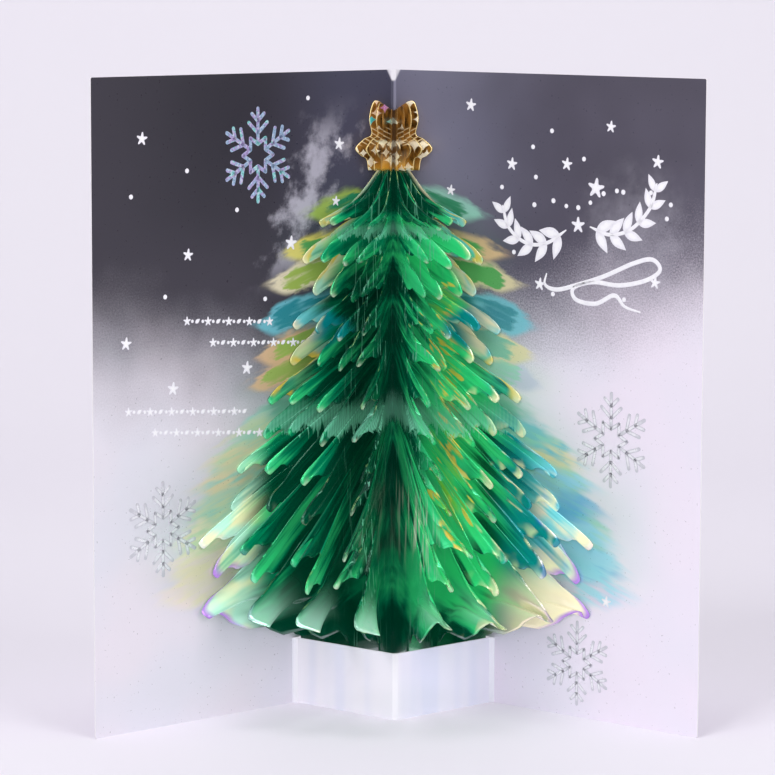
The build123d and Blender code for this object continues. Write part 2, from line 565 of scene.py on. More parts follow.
def boughEdge(bough, tips, notches, chance):
    # underside, drooping hook and bowed back of one bough, with a small finger on the back
    tipReach, tipHeight = tips[bough]
    notch = notches[bough]
    hook = [(tipReach + outward, tipHeight + up) for outward, up in treePlan["hook"]]
    underside = [between(notch, hook[0], share, rise) for share, rise in treePlan["underside"]]
    points = [notch] + underside + hook
    tip = points[-1]
    if bough + 1 < len(tips):
        goal = notches[bough + 1]
        finger = 0.34 + 0.1 * chance.random()
        points += [
            between(tip, goal, 0.16, 1.2),
            between(tip, goal, finger, treePlan["finger"]),
            between(tip, goal, finger + 0.1, treePlan["backBow"] * 0.5),
            between(tip, goal, 0.75, treePlan["backBow"] * 0.8),
            goal,
        ]
    else:
        goal = (treePlan["neckReach"], treePlan["top"])
        points += [between(tip, goal, share, -4 * treePlan["neckSag"] * share * (1 - share))
                   for share in (0.25, 0.5, 0.75)]
        points.append(goal)
    return points


def treeRows(chance, line):
    # for each bough its edge and the stretch of the fold that it springs from
    spread = treePlan["tipSpread"]
    shift = treePlan["lineShift"] * sin(2.3 * line)
    tips = []
    for bough, (reach, height) in enumerate(boughTips()):
        even = 1 - 0.6 * bough / treePlan["boughs"]
        rise = (chance.uniform(-0.3, 0.3) * spread + shift * min(1, bough)) * even
        tips.append((reach - chance.uniform(0, spread) * even, height + rise))
    notches = [(tips[0][0] - treePlan["skirtNotch"], treePlan["skirtCorner"][1])]
    for reach, height in tips[1:]:
        notches.append((reach - treePlan["notchDepth"], height + treePlan["notchRise"]))
    springs = [treePlan["foot"]]
    lowRise, lessRise = treePlan["rootRise"]
    for bough in range(1, len(tips)):
        rise = (lowRise - lessRise * bough) * notches[bough][0]
        springs.append(max(springs[-1] + 1.5, notches[bough][1] + rise))
    springs.append(treePlan["top"])
    rows = []
    for bough in range(len(tips)):
        edge = smoothLine(boughEdge(bough, tips, notches, chance), treePlan["edgeSamples"])
        rows.append((edge, springs[bough], springs[bough + 1]))
    return rows


def footDip(out):
    # how far the foot's edge lies below a straight line from the fold to the first notch
    reach = out * (treePlan["lowTip"][0] - treePlan["skirtNotch"])
    straight = treePlan["foot"] + out * (treePlan["skirtCorner"][1] - treePlan["foot"])
    cornerReach, cornerHeight = treePlan["footCorner"]
    skirtReach, skirtHeight = treePlan["skirtCorner"]
    if reach < cornerReach:
        return cornerHeight - straight
    share = min(1, (reach - cornerReach) / (skirtReach - cornerReach))
    return cornerHeight + share * (skirtHeight - cornerHeight) - straight


def addHalf(mesh, flowMap, line, way, rows, chance, plan):
    # one half of a folded sheet: way 1 stands to the right of its line, -1 to the left
    tall = len(rows)
    side = line - treePlan["sheets"] / 2
    flare = treePlan["flare"] * max(0, 1 - (abs(side) - 0.5) / 3) if plan["tucks"] else 0
    lowCurl = treePlan["lowCurl"][side > 0]
    phase = [chance.uniform(-bladePlan["phase"], bladePlan["phase"]) for row in rows]
    lift = [chance.uniform(*bladePlan["lift"]) for row in range(tall + 1)]
    start = chance.uniform(0, 2 * pi)
    onPanelHalf = line in (0, treePlan["sheets"])
    facing = 1 if side < 0 else -1                         # blades bow towards the reader
    grid = []
    for row, (edge, springLow, springHigh) in enumerate(rows):
        lowShare = max(0, 1 - row) if plan["tucks"] else 0
        for sample, (edgeReach, edgeHeight) in enumerate(edge[:None if row + 1 == tall else -1]):
            t = sample / (len(edge) - 1)
            spring = springLow + (springHigh - springLow) * t
            room = edgeReach / plan["longReach"]
            swell = (lift[row] * (1 - t) + lift[row + 1] * t) * plan["wave"]
            hookShare = exp(-((t - plan["hookAt"]) / bladePlan["hookWidth"]) ** 2)
            strand = []
            for step in range(plan["reachSamples"] + 1):
                out = 1 - (1 - step / plan["reachSamples"]) ** bladePlan["crowding"]
                if plan["tucks"] and row + sample == 0 and step == plan["tuckStep"]:
                    out = plan["tuckReach"] / edgeReach
                reach = plan["foldStart"] + (edgeReach - plan["foldStart"]) * out
                height = spring + (edgeHeight - spring) * out
                height += plan["sweep"] * sin(pi * out) * min(1, row + t) * (1 - row / tall)
                if row == 0 and plan["tucks"]:
                    height += footDip(out) * (1 - t) ** 3
                bow = 0.5 - 0.5 * cos(2 * pi * (t + phase[row] * sin(pi * t)))
                bend = facing * out ** bladePlan["bowGrowth"] * swell * bow
                bend += facing * out ** bladePlan["curlGrowth"] * hookShare * plan["tipCurl"]
                bend += out ** bladePlan["flareGrowth"] * hookShare * lowShare * lowCurl
                spread = out ** bladePlan["flareGrowth"] * lift[row]
                spread *= 1 + treePlan["highFlare"] * row / tall
                flared = exp(-((t - bladePlan["flareAt"]) / treePlan["flareWidth"]) ** 2)
                bend -= facing * flare * spread * flared
                swayTurn = start + (row + t) * bladePlan["swayStep"]
                bend += out ** bladePlan["swayGrowth"] * plan["sway"] * sin(swayTurn)
                fold = 2 * pi * plan["pleats"] * (t + bladePlan["pleatShift"] * lift[row])
                bend += out ** bladePlan["pleatGrowth"] * plan["pleat"] * sin(fold)
                if onPanelHalf:
                    bend = way * bladePlan["laidShare"] * abs(bend)
                opened = plan["opening"] * out ** bladePlan["openGrowth"]
                push = bend * room + way * (plan["film"] / 2 + opened * room)
                place = onLeaf(line, reach, height, push)
                strand.append((mesh.verts.new(place), out, (row + t) / tall))
            grid.append(strand)
    if plan["tucks"]:
        # the foot hangs on down behind the strip
        hem = []
        for vertex, out, row in grid[0][:plan["tuckStep"] + 1]:
            hem.append((mesh.verts.new((vertex.co.x, vertex.co.y, plan["tuckFoot"] * mm)), out, 0))
        grid.insert(0, hem)
    for lower, upper in zip(grid, grid[1:]):
        for step in range(min(len(lower), len(upper)) - 1):
            corners = [lower[step], lower[step + 1], upper[step + 1], upper[step]]
            if way < 0:
                corners.reverse()
            addFace(mesh, flowMap, corners).smooth = True
    return grid


def joinFold(mesh, flowMap, leftGrid, rightGrid):
    # the tight fold on the spine that joins the two halves
    pairs = [(left[0], right[0]) for left, right in zip(leftGrid, rightGrid)]
    for lower, upper in zip(pairs, pairs[1:]):
        addFace(mesh, flowMap, [lower[0], lower[1], upper[1], upper[0]]).smooth = True


def filmSheet(name, node, sheet, makeRows, plan, materials):
    mesh, flowMap = newMesh()
    grids = []
    for line, way in ((sheet, 1), (sheet + 1, -1)):
        chance = random.Random(plan["seed"] + line)
        grids.append(addHalf(mesh, flowMap, line, way, makeRows(chance, line), chance, plan))
    joinFold(mesh, flowMap, *grids)
    piece = addPiece(name, mesh, materials)
    thick = piece.modifiers.new("film", "SOLIDIFY")
    thick.thickness = plan["film"] * 0.8 * mm
    thick.offset = 0
    thick.material_offset_rim = 1
    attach(piece, "root")
    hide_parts(node)
    return piece


filmPlan = {
    "shadedCore": colour(0, 46, 34),
    "deep": colour(0, 84, 60),
    "body": colour(0, 152, 106),
    "bright": colour(62, 232, 146),
    "lime": colour(160, 222, 80),
    "amber": colour(250, 220, 96),
    "teal": colour(8, 146, 154),
    "blue": colour(28, 122, 186),
    "aqua": colour(130, 226, 234),
    "mint": colour(200, 252, 230),
    "cream": colour(254, 248, 200),
    "peach": colour(255, 240, 206),
    "frostAndGlint": colour(132, 214, 184),
    "purple": colour(170, 120, 212),
    "paintedGlint": colour(236, 250, 222),
    "edge": colour(0, 62, 50),
    "edgeLit": colour(176, 226, 150),
    "edgeBlue": colour(24, 120, 150),
    "passing": (0.42, 0.56, 0.48, 1),     # share of light that goes through
    "bounced": colour(72, 172, 122),
    # of each frosted band the waver of its top and the heights of its fade, then those of its foot
    "bands": [((6, 98.5, 91.5), (14, 88, 89)), ((3, 152.6, 149.6), (8, 147.8, 148.4))],
}


def filmMaterial():
    material, tree, shader = newMaterial("greenFilm")
    x, y, height = places(tree)
    where = vector(x, y, height)
    out, row = flow(tree)
    boughs = row * float(treePlan["boughs"])
    share = boughs.calc("FRACT")
    deep = y * -1 + spineY             # how far forward of the spine
    turn = x.absolute().calc("ARCTAN2", deep)
    laid = turn.smooth(0.79, 0.84)     # 1 where a leaf lies on its panel
    wide = x.absolute()
    strands = mottle(vector(out * 0.7, boughs * 1.4, turn), 0.34, 2, 0.6)
    hairs = mottle(vector(out * 1.6, boughs * 12, turn), 0.5, 1, 0.6)
    tone = mottle(vector((boughs - share) * 7.3, turn.calc("ROUND") + x * 0.1, 3), 4, 0)
    broad = mottle(where, 17, 1)
    patches = mottle(where, 5, 0)

    # each blade has its own tone; painted shade keeps it deep at its root and under its neighbour,
    # painted light makes it brighter at its tip and right of the middle, and painted shade darkens
    # the fan's middle
    back = share.near(0.5, 0.62)
    lit = back * 0.35 + out * 0.5 + (strands - 0.5) * 1.9 + (hairs - 0.5) * 0.5 + (tone - 0.5) * 2
    lit = lit - share.near(0.02, 0.16) * out.smooth(0.3, 0.7) * 0.7
    ink = mixColour(lit.smooth(0.2, 0.75), filmPlan["deep"], filmPlan["body"])
    sunny = x.smooth(-8, 12) * 0.5 + (broad - 0.5) * 0.9
    ink = ink.into(filmPlan["bright"], (lit + sunny).smooth(0.68, 1.22))
    shadedCore = x.near(-9, 20) * (strands * -1.2 + 1.5) * height.near(90, 90).smooth(0, 0.5)
    ink = ink.into(filmPlan["shadedCore"], shadedCore.smooth(0.15, 1.1) * 0.8)

    # light comes through right of the middle, and in spots near the left edge
    glow = x.near(17, 21) * height.near(96, 70).smooth(0, 0.6)
    ink = ink.into(filmPlan["bright"], (glow * (strands * 1.3 + broad)).smooth(0.4, 1.1) * 0.9)
    patch = glow + x.near(-34, 13) * height.near(140, 15) * 1.2
    limy = patch * (strands * 1.3 + hairs * 0.5 + broad * 0.6)
    ink = ink.into(filmPlan["lime"], limy.smooth(1.05, 1.5))
    fleck = mottle(vector(out * 2.2, boughs * 5, turn), 0.5, 1)
    flecks = patch * fleck * (patches + 0.5) * (out + 0.5)
    ink = ink.into(filmPlan["amber"], flecks.smooth(0.7, 0.86))

    # teal and blue towards the right, and on both sides in the teal tier
    cool = x.smooth(14, 44) + height.near(120, 10) * wide.smooth(6, 26) * 1.6
    cool = cool + x.smooth(-42, -60) * height.smooth(60, 40)
    ink = ink.into(filmPlan["teal"], (cool * out * (broad + strands)).smooth(0.25, 0.95))
    blue = x.smooth(26, 52) * out * (patches + strands * 0.6)
    ink = ink.into(filmPlan["blue"], blue.smooth(0.48, 0.84))

    # the leaves on the panels shift between pale tints towards their tips
    sheer = laid * (wide.smooth(38, 50) + out.smooth(0.6, 0.95) * height.smooth(96, 116))
    shift = broad + strands * 0.4 - 0.2
    warm = mixColour(shift.smooth(0.44, 0.58), filmPlan["mint"], filmPlan["cream"])
    cold = mixColour(shift.smooth(0.46, 0.62), filmPlan["aqua"], filmPlan["peach"])
    tint = mixColour((x * 0.1 + height.near(121, 9) * 8).smooth(-1, 1), warm, cold)
    ink = ink.into(tint, sheer * (strands + 0.25).smooth(0.4, 0.9))
    warmTip = laid * out.smooth(0.86, 0.97) * (height.near(145, 20) + height.near(105, 12))
    ink = ink.into(filmPlan["amber"], warmTip.smooth(0.1, 0.6) * (patches + 0.4).smooth(0.7, 1))

    # the lowest blades are pale: mint in the middle and peach on the right
    hookPart = share.near(0.42, 0.34)
    mint = height.smooth(50, 26) * out.smooth(0.6, 0.95) * hookPart.smooth(0, 0.6)
    ink = ink.into(filmPlan["mint"], mint * 0.9)
    peach = x.smooth(27, 40) * height.smooth(50, 38)
    peach = peach * out.smooth(0.35, 0.6) * share.smooth(1, 0.85)
    ink = ink.into(filmPlan["peach"], peach * (row * -12 + 1).smooth(-0.6, 0))

    # painted highlights: glassy glints on the hook tips along the tiers and warm cream light on
    # the outer edges, and a purple rim low down
    tips = out.smooth(0.94, 0.995) * share.near(0.42, 0.16)
    hookGlints = tips * (patches + strands).smooth(0.85, 1.05) * (x.smooth(-44, -16) * 0.8 + 0.2)
    ink = ink.into(filmPlan["paintedGlint"], hookGlints * 0.9)
    sunnyEdge = x.smooth(10, 30) + x.smooth(-16, -26) * height.smooth(116, 126)
    edge = out.smooth(0.9, 0.99) * sunnyEdge * (broad + patches).smooth(0.92, 1.14)
    ink = ink.into(filmPlan["cream"], edge * 0.8)
    rim = out.smooth(0.95, 0.995) * height.smooth(60, 45) * wide.smooth(40, 55)
    ink = ink.into(filmPlan["purple"], rim)

    # fine upright glints where the film is pinched near the fold
    # painted highlights in the frosted colour
    pinch = mottle(vector(x * 1.7, y * 0.4, height * 0.06), 1, 1)
    glint = (pinch + out * 0.08).smooth(0.67, 0.76) * wide.smooth(19, 8)
    ink = ink.into(filmPlan["frostAndGlint"], glint * 0.6)
    shine = mottle(vector(x * 1.8, y * 0.1, height * 0.05), 1, 1, 0.6)
    shine = shine.smooth(0.5, 0.66) * x.near(6, 9) * height.near(58, 18).smooth(0, 0.7)
    ink = ink.into(filmPlan["paintedGlint"], shine * 0.8)

    # two bands where a tier is ribbed and frosted, with a ragged lower edge
    run = (x * x + deep * deep).power(0.5)
    ribs = run.wave(1.5) * 0.5 + 0.5
    ragged = mottle(vector(run * 0.8, turn * 9, height * 0.12), 1.6, 2, 0.7) - 0.5
    parts = []
    for (topWaver, *topFade), (footWaver, *footFade) in filmPlan["bands"]:
        top = (height + ragged * topWaver).smooth(*topFade)
        parts.append(top * (height + ragged * footWaver).smooth(*footFade))
    band = (parts[0] + parts[1]).calc("MINIMUM", 1)
    ink = ink.into(filmPlan["frostAndGlint"], band * (ribs * 0.3 + hairs * 0.7 + 0.1))

    # painted light: the film glows faintly in its own colour, more on the outer leaves that lie on
    # the panels, for the light coming through it
    setShader(shader, {
        "Base Color": ink,
        "Emission Color": ink,
        "Emission Strength": laid * wide.smooth(34, 50) * 0.36 + 0.18,
        "Roughness": band * 0.3 + hairs * 0.16 + 0.1,
        "Metallic": band * -0.3 + laid * -0.25 + 0.45,
        "Coat Weight": 0.4,
        "Coat Roughness": 0.05,
        "Alpha": laid * (out.smooth(0.3, 1) * -0.24 - 0.04) + 1,
    })
    forRays(tree, "Is Diffuse Ray", "ShaderNodeBsdfDiffuse", filmPlan["bounced"])
    # to the lamps the film is a tinted pane, so its shadow is faint and green
    forRays(tree, "Is Shadow Ray", "ShaderNodeBsdfTransparent", filmPlan["passing"])
    useBump(shader, strands, 0.5, 0.8)
    return material


def filmEdgeMaterial():
    # the cut edge of the film is dark, and gathers light in places
    material, tree, shader = newMaterial("filmEdge")
    x, y, height = places(tree)
    spots = mottle(vector(x, y, height), 5, 2)
    lit = spots.smooth(0.52, 0.66) * (x.smooth(-46, -10) * 0.8 + 0.2)
    ink = mixColour(lit, filmPlan["edge"], filmPlan["edgeLit"])
    ink = ink.into(filmPlan["edgeBlue"], x.smooth(25, 60) * 0.6)
    setShader(shader, {
        "Base Color": ink,
        "Roughness": spots * 0.2 + 0.12,
        "Metallic": 0.3,
    })
    return material


greenFilm = filmMaterial()
filmEdge = filmEdgeMaterial()
for sheet in range(treePlan["sheets"]):
    filmSheet(f"treeLeaves.{sheet + 1}", f"tree_sheet_{sheet + 1}", sheet, treeRows, treePlan,
              [greenFilm, filmEdge])
print("stage: tree leaves")

# The star

starPlan = {
    "film": 0.12,
    "foldStart": 0.12,
    "foot": 168.2,
    "notch": (0.12, 187),
    "top": (8, 189.6),
    "waist": (8.4, 179.7),
    "side": (15.2, 175.4),
    "footReach": 9.8,
    "crotch": (10.6, 171.8),
    "lobeBow": 1.3,
    "sideBow": 0.6,
    "opening": 0.05,
    "wave": 0.5,
    "sway": 0.4,
    "tipCurl": 0,
    "hookAt": 0.5,
    "sweep": 0,
    "pleat": 0,
    "pleats": 1,
    "tucks": False,
    "longReach": 15.2,
    "seed": 5,
    "reachSamples": 10,
}


def starRows(chance, line):
    # the top lobes rise as the leaves open to the sides, and each leaf is cut a little unevenly
    plan = starPlan
    notch, top, waist = plan["notch"], plan["top"], plan["waist"]
    side, crotch = plan["side"], plan["crotch"]
    share = abs(sin(radians(line * treePlan["stepAngle"]) - halfOpen)) / across
    top = (top[0] - chance.uniform(0, 0.3), notch[1] + (top[1] - notch[1]) * share)
    points = [
        (plan["footReach"], plan["foot"]),
        crotch,
        between(crotch, side, 0.5, -plan["sideBow"]),
        side,
        between(side, waist, 0.5, plan["sideBow"]),
        waist,
        between(waist, top, 0.5, 0),
        top,
        between(top, notch, 0.3, plan["lobeBow"] * share),
        between(top, notch, 0.7, plan["lobeBow"] * 0.5 * share),
        notch,
    ]
    points[6] = (points[6][0] + plan["lobeBow"], points[6][1])
    return [(smoothLine(points, 48), plan["foot"], plan["notch"][1])]


goldPlan = {
    "shade": colour(78, 52, 20),
    "body": colour(164, 116, 48),
    "glow": colour(246, 196, 84),
    "chevron": colour(244, 222, 178),
    "rim": colour(250, 226, 160),
    "split": colour(86, 66, 60),
    "sparkle": colour(255, 246, 220),
    "turquoise": colour(80, 205, 205),
    "orange": colour(246, 140, 70),
    "lilac": colour(190, 140, 220),
    "sparkleSize": 3.3,
}


def goldEdgeMaterial():
    # the foil's cut edge, as quiet as its face
    material, tree, shader = newMaterial("goldEdge")
    x, y, height = places(tree)
    grain = mottle(vector(x, y, height), 2, 2)
    setShader(shader, {
        "Base Color": mixColour(grain, goldPlan["shade"], goldPlan["body"]),
        "Roughness": grain * 0.2 + 0.3,
        "Metallic": 0.3,
    })
    return material


def goldMaterial():
    material, tree, shader = newMaterial("goldFilm")
    x, y, height = places(tree)
    out, row = flow(tree)
    flat = vector(x, height, 0)
    cells = tree.nodes.new("ShaderNodeTexVoronoi")
    cells.voronoi_dimensions = "2D"
    cells.inputs["Scale"].default_value = 1 / goldPlan["sparkleSize"]
    plug(flat, cells.inputs["Vector"])
    apart = tree.nodes.new("ShaderNodeVectorMath")
    apart.operation = "SUBTRACT"
    plug(flat, apart.inputs[0])
    tree.links.new(cells.outputs["Position"], apart.inputs[1])
    parts = tree.nodes.new("ShaderNodeSeparateXYZ")
    tree.links.new(apart.outputs[0], parts.inputs[0])
    sideways = Field(tree, parts.outputs[0]).absolute().power(0.55)
    upright = Field(tree, parts.outputs[1]).absolute().power(0.55)
    hues = tree.nodes.new("ShaderNodeSeparateXYZ")
    tree.links.new(cells.outputs["Color"], hues.inputs[0])
    pick = Field(tree, hues.outputs[0])
    shown = Field(tree, hues.outputs[1]).smooth(0.24, 0.26)
    shown = shown * height.near(179.6, 3.4).smooth(0.7, 0.1)
    size = pick * 0.5 + 1.45
    sparkle = (size - sideways - upright).smooth(0, 0.3) * shown
    foil = mottle(vector(x, y, height), 3.4, 3)
    ink = mixColour(foil.smooth(0.36, 0.62), goldPlan["shade"], goldPlan["body"])
    # painted light: a warm glow at the star's foot near the middle
    glowFoot = height.smooth(173, 168.5) * x.absolute().smooth(9, 2)
    ink = ink.into(goldPlan["glow"], glowFoot * 0.8)
    # painted highlights: pale chevrons at the waist, where its facets catch the light
    waist = height.near(179, 3.6) * x.absolute().smooth(0.6, 1.6)
    chevron = (height + x.absolute() * -0.6).wave(1.5).smooth(0.45, 0.85) * waist.smooth(0, 0.3)
    ink = ink.into(goldPlan["chevron"], chevron * 0.85)
    ink = ink.into(goldPlan["sparkle"], sparkle)
    leftTop = x.smooth(1, -3) * height.smooth(176, 181)
    hueSteps = ((0.66, 0.7, "turquoise"), (0.36, 0.32, "orange"), (0.16, 0.12, "lilac"))
    for low, high, name in hueSteps:
        tinted = sparkle * leftTop * pick.smooth(low, high)
        ink = ink.into(goldPlan[name], tinted)
    # painted highlights along the cut edges of the leaves away from the middle
    rim = out.smooth(0.955, 0.99) * x.absolute().smooth(3, 6)
    ink = ink.into(goldPlan["rim"], rim * 0.9)
    # painted shade in the split down the middle of the star
    split = x.absolute().smooth(0.9, 0.3)
    ink = ink.into(goldPlan["split"], split * 0.6)
    # painted light: the foil glows faintly in its own colour
    setShader(shader, {
        "Base Color": ink,
        "Emission Color": ink,
        "Emission Strength": 0.2,
        "Metallic": sparkle * -0.2 + 0.4,
        "Roughness": foil * 0.2 + 0.2,
    })
    useBump(shader, sparkle * 0.4 + foil, 0.12, 0.4)
    return material


goldFilm = goldMaterial()
goldEdge = goldEdgeMaterial()
for sheet in range(treePlan["sheets"]):
    filmSheet(f"starLeaves.{sheet + 1}", f"star_sheet_{sheet + 1}", sheet, starRows, starPlan,
              [goldFilm, goldEdge])
print("stage: star")

# Foil and white ink on the panels

stampPlan = {
    "lift": 0.02,
    "rise": 0.06,
    "bevel": [(0, 1), (0.6, 1), (1, 0.9)],     # share of the rise, and of the outline's size
    "starRadius": (0.69, 0.27, 0.05),     # mean radius of a star, its points and their sharpness
    "leftStars": [(100.9, 181.2, 2.1), (22, 177, 2.1), (23.3, 159, 1.7), (42, 146.7, 2.4),
                  (83.3, 145.2, 2), (107.4, 119.6, 2.1), (60, 108.7, 2.2), (89.4, 104.5, 2.2)],
    "rightStars": [(30.6, 189.6, 2.1), (85.1, 184.6, 1.9), (47.1, 171.8, 2.1), (68.5, 172.6, 2.1),
                   (102.7, 174.6, 2.2), (79.7, 165.7, 3.2), (22.7, 162.5, 1.8), (58.4, 134.9, 2.1),
                   (102.2, 138, 2), (85.2, 37.8, 1.9)],
    "leftDots": [(35, 191.8), (83.6, 170.9), (105.2, 163.9), (63.9, 158.1), (92.3, 132.9),
                 (52.6, 129.8)],
    "rightDots": [(62.6, 182.6), (55.3, 177.4), (75, 174.4), (56.5, 168.1), (43.2, 164.4),
                  (87.6, 165.2), (100.3, 165.2), (107.7, 161.9), (106.3, 157.6), (48.1, 144.3),
                  (63.5, 132.1), (90.7, 132.1)],
    "dotSize": 0.75,
}


def keepPrint(name, mesh, material):
    bmesh.ops.recalc_face_normals(mesh, faces=mesh.faces)
    piece = addPiece(name, mesh, [material])
    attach(piece, "root")


def stampMesh(name, material, shapes, side):
    # thin raised shapes on a panel, each an outline of reach and height round a middle
    mesh, flowMap = newMesh()
    for middle, outline in shapes:
        rims = []
        for rise, grow in stampPlan["bevel"]:
            lift = stampPlan["lift"] + stampPlan["rise"] * rise
            spots = [onPanel(side, *between(middle, corner, grow), lift) for corner in outline]
            rims.append([(mesh.verts.new(spot), 1, 0) for spot in spots])
        top = onPanel(side, *middle, stampPlan["lift"] + stampPlan["rise"])
        centre = (mesh.verts.new(top), 0, 0)
        for index in range(len(outline)):
            for lower, upper in zip(rims, rims[1:]):
                corners = [lower[index - 1], lower[index], upper[index], upper[index - 1]]
                addFace(mesh, flowMap, corners)
            addFace(mesh, flowMap, [rims[-1][index - 1], rims[-1][index], centre])
    keepPrint(name, mesh, material)


def around(middle, radius, angle):
    # the point this far from the middle, at an angle from straight up
    return (middle[0] + radius * sin(angle), middle[1] + radius * cos(angle))


def starOutline(middle, size, tilt=0):
    outline = []
    points, samples = 5, 50
    mean, swing, sharp = stampPlan["starRadius"]
    for index in range(samples):
        angle = 2 * pi * index / samples
        radius = size * (mean + swing * cos(points * angle) + sharp * cos(2 * points * angle))
        outline.append(around(middle, radius, angle + tilt))
    return outline


def dotOutline(middle, size):
    return [around(middle, size, 2 * pi * index / 16) for index in range(16)]


def strokeOutline(start, end, width):
    # a straight stroke with round ends
    along = atan2(end[0] - start[0], end[1] - start[1])
    outline = []
    for middle, first in ((end, 0.5), (start, -0.5)):
        for index in range(7):
            outline.append(around(middle, width / 2, along + pi * (first - index / 6)))
    return outline


def strokeShape(start, end, width):
    return (between(start, end, 0.5), strokeOutline(start, end, width))


flakePlan = {
    "stroke": 0.085,
    "ring": (0.24, 0.42),
    "stem": (0.26, 1),
    "branches": [(0.73, 0.17, 0.89), (0.47, 0.256, 0.70)],
    "left": [(55.4, 174.7, 14.4), (93.6, 61.6, 14.4)],
    "right": [(86.4, 88.5, 14.4), (74.2, 17.1, 13)],
}


def flakeShapes(middle, size):
    # six arms with two pairs of branches each, on a zigzag ring
    shapes = []
    width = flakePlan["stroke"] * size

    def place(angle, outward, sideways=0):
        return (middle[0] + size * (outward * sin(angle) + sideways * cos(angle)),
                middle[1] + size * (outward * cos(angle) - sideways * sin(angle)))

    for arm in range(6):
        angle = pi / 3 * arm
        corner = place(angle + pi / 6, flakePlan["ring"][1])
        stemRoot, stemTip = [place(angle, outward) for outward in flakePlan["stem"]]
        shapes.append(strokeShape(place(angle, flakePlan["ring"][0]), corner, width))
        shapes.append(strokeShape(corner, place(angle + pi / 3, flakePlan["ring"][0]), width))
        shapes.append(strokeShape(stemRoot, stemTip, width))
        for root, sideways, outward in flakePlan["branches"]:
            for way in (-1, 1):
                tip = place(angle, outward, way * sideways)
                shapes.append(strokeShape(place(angle, root), tip, width))
    return shapes


def inkMaterial(name, ink, edge, metal, rough):
    # stamped foil or white ink, with painted shade that darkens it towards its raised edge
    material, tree, shader = newMaterial(name)
    x, y, height = places(tree)
    rim = flow(tree)[0]
    grain = mottle(vector(x, y, height), 1.3, 2)
    shade = mixColour((rim + grain - 0.5).smooth(0.35, 0.95), colour(*ink), colour(*edge))
    setShader(shader, {
        "Base Color": shade,
        "Roughness": grain * 0.2 + rough,
        "Metallic": metal,
    })
    return material


laserPlan = {
    "blue": colour(168, 196, 226),
    "lilac": colour(190, 170, 222),
    "turquoise": colour(150, 224, 224),
    "silver": colour(236, 240, 250),
}


def laserMaterial():
    # holographic foil: lilac, blue and silver patches
    material, tree, shader = newMaterial("laserFoil")
    x, y, height = places(tree)
    where = vector(x, y, height)
    hues = mottle(where, 3, 1)
    grain = mottle(where, 0.8, 1)
    ink = mixColour(hues.smooth(0.4, 0.55), laserPlan["blue"], laserPlan["lilac"])
    ink = ink.into(laserPlan["turquoise"], hues.smooth(0.55, 0.68))
    ink = ink.into(laserPlan["silver"], grain.smooth(0.5, 0.7) * 0.6)
    setShader(shader, {
        "Base Color": ink,
        "Roughness": grain * 0.3 + 0.15,
        "Metallic": 0.4,
    })
    return material


garlandPlan = {
    "samples": 120,
    "middle": (73, 154),
    "stem": [(-4.5, -1), (-12, -4.2), (-20, -3.4), (-27, 2.2), (-29.5, 9.5)],
    "stemHalf": 0.6,
    "leafPairs": 6,
    "leafLength": (8.2, 5.4),
    "leafTurn": 0.7,
    "leafWidth": 0.42,
    "slope": 0.16,
    "loop": [(61, 138.5), (60.4, 134.9), (65, 133.6), (73, 135.6), (83, 138.8), (94, 143.4),
             (101, 145), (104, 142), (99, 138.6), (89, 136.4), (79, 136.8), (71.5, 134.6),
             (72.4, 131), (80, 130.2), (87, 133.2), (91, 130), (97, 128.6)],
    "loopHalf": 0.7,
    "buds": [(0, 0, 2.6), (0, 5.4, 0.8), (-4.6, 6.4, 0.7), (4.6, 6.4, 0.7),
             (-9.6, 8.6, 0.8), (9.6, 8.6, 0.8), (-17, 8.2, 0.8), (17, 8.2, 0.8)],
    "beadStar": 1.5,
    "beadDot": 0.55,
    "beadLeaf": 0.6,
    "rows": [(83.8, 124.9, 50.8, 122.6, 17), (73.6, 117.6, 33, 114.8, 21),
             (106.6, 98.8, 61, 95.2, 23), (96.4, 91.6, 55, 88, 21)],
}


def addRibbon(mesh, flowMap, side, points, half):
    # an embossed line that runs through the points and thins out at its ends
    line = smoothLine(points, garlandPlan["samples"])
    rows = []
    for index, place in enumerate(line):
        before, after = line[max(0, index - 1)], line[min(len(line) - 1, index + 1)]
        length = hypot(after[0] - before[0], after[1] - before[1]) or 1
        away = ((before[1] - after[1]) / length, (after[0] - before[0]) / length)
        share = index / (len(line) - 1)
        width = half * (0.35 + 0.65 * min(1, 9 * share, 9 * (1 - share)))
        row = []
        for offset, lift in ((-1, 0), (-0.6, 1), (0.6, 1), (1, 0)):
            spot = onPanel(side, *[place[k] + away[k] * width * offset for k in (0, 1)],
                           stampPlan["lift"] + lift * stampPlan["rise"])
            row.append((mesh.verts.new(spot), abs(offset), 0))
        rows.append(row)
    for first, second in zip(rows, rows[1:]):
        for step in range(3):
            addFace(mesh, flowMap, [first[step], first[step + 1], second[step + 1], second[step]])


def leafShape(root, tip, width):
    # a pointed leaf
    side = (tip[1] - root[1], root[0] - tip[0])
    outline = []
    for way in (1, -1):
        for index in range(8):
            share = index / 8 if way > 0 else 1 - index / 8
            swell = way * width / 2 * sin(pi * share ** 0.8)
            outline.append((root[0] + (tip[0] - root[0]) * share + side[0] * swell,
                            root[1] + (tip[1] - root[1]) * share + side[1] * swell))
    return (between(root, tip, 0.45), outline)


